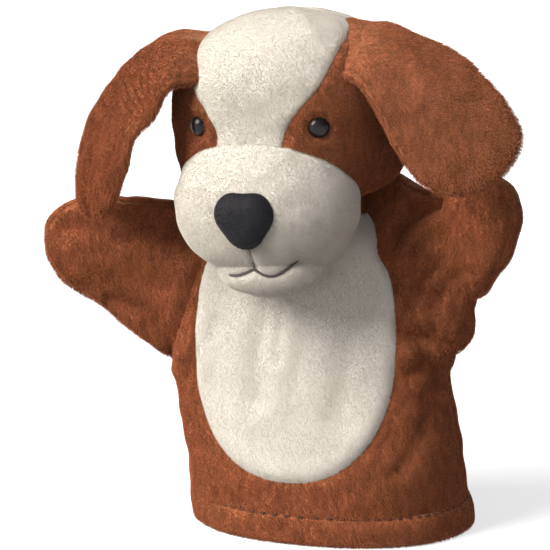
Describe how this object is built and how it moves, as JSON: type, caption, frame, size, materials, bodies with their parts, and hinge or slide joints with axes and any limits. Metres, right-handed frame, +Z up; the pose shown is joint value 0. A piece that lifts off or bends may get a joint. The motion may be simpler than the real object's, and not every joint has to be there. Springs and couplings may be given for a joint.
{
  "type": "hand puppet",
  "caption": "Plush dog glove puppet with a stuffed head, floppy ears, hollow arms and a hand opening at the hem.",
  "frame": {"origin": "middle of the hand opening, level with the bottom edge of the hem", "axes": "+Z up through the body to the head, the puppet faces -Y, +X is the puppet's own left"},
  "size_m": [0.2448, 0.1194, 0.2441],
  "materials": {
    "brown_plush": "orange-brown short-pile plush",
    "white_plush": "creamy white short-pile plush",
    "nose_velvet": "matte black velvet",
    "eye_plastic": "polished black",
    "washer_plastic": "moulded, natural white",
    "dark_thread": "embroidery thread",
    "brown_thread": "sewing thread",
    "lining_fabric": "thin woven lining",
    "stuffing": "polyester fibre filling"
  },
  "bodies": {
    "glove": {"glove_front": "brown_plush", "glove_back": "brown_plush", "tummy_patch": "white_plush", "hem_fold": "brown_plush", "hem_stitches": "brown_thread", "side_seam_left": "brown_plush", "side_seam_right": "brown_plush"},
    "neck": {"neck_sleeve": "brown_plush"},
    "pocket": {"finger_pocket": "lining_fabric"},
    "head": {"head_stuffing": "stuffing", "head_back": "brown_plush", "forehead_blaze": "white_plush", "face_left": "brown_plush", "face_right": "brown_plush", "muzzle_skin": "white_plush", "chin_patch": "white_plush", "nose": "nose_velvet", "mouth_stitching": "dark_thread", "eye_left": "eye_plastic", "eye_right": "eye_plastic", "eye_washer_left": "washer_plastic", "eye_washer_right": "washer_plastic"},
    "shoulder_left": {"armhole_seam_left": "brown_thread"},
    "arm_left": {"arm_left_front": "brown_plush", "arm_left_back": "brown_plush"},
    "ear_left": {"ear_left_outer": "brown_plush", "ear_left_lining": "brown_plush"},
    "shoulder_right": {"armhole_seam_right": "brown_thread"},
    "arm_right": {"arm_right_front": "brown_plush", "arm_right_back": "brown_plush"},
    "ear_right": {"ear_right_outer": "brown_plush", "ear_right_lining": "brown_plush"}
  },
  "joints": [
    {"name": "head_nod", "type": "hinge", "parent": "glove", "child": "neck", "pos_m": [-0.02109, 0.008, 0.15], "axis": [1, 0, 0], "range_deg": [-20, 4]},
    {"name": "head_tilt", "type": "hinge", "parent": "neck", "child": "pocket", "pos_m": [-0.02109, 0.008, 0.15], "axis": [0, 1, 0], "range_deg": [-10, 10]},
    {"name": "head_turn", "type": "hinge", "parent": "pocket", "child": "head", "pos_m": [-0.02109, 0.008, 0.15], "axis": [0, 0, 1], "range_deg": [-15, 15]},
    {"name": "arm_left_raise", "type": "hinge", "parent": "glove", "child": "shoulder_left", "pos_m": [0.0345, 0.004, 0.11], "axis": [0.4695, 0.8829, 0], "range_deg": [-25, 25]},
    {"name": "arm_left_swing", "type": "hinge", "parent": "shoulder_left", "child": "arm_left", "pos_m": [0.0345, 0.004, 0.11], "axis": [-0.4679, 0.2488, 0.848], "range_deg": [-15, 20]},
    {"name": "arm_right_raise", "type": "hinge", "parent": "glove", "child": "shoulder_right", "pos_m": [-0.0625, 0.004, 0.108], "axis": [0.0872, -0.9962, 0], "range_deg": [-25, 25]},
    {"name": "arm_right_swing", "type": "hinge", "parent": "shoulder_right", "child": "arm_right", "pos_m": [-0.0625, 0.004, 0.108], "axis": [-0.3243, -0.0284, -0.9455], "range_deg": [-15, 20]},
    {"name": "ear_left_flap", "type": "hinge", "parent": "head", "child": "ear_left", "pos_m": [0.0225, -0.022, 0.233], "axis": [0.5882, 0.5084, 0.6289], "range_deg": [-60, 5]},
    {"name": "ear_right_flap", "type": "hinge", "parent": "head", "child": "ear_right", "pos_m": [-0.0595, -0.01, 0.233], "axis": [0.4408, -0.8945, -0.0746], "range_deg": [-60, 5]}
  ]
}
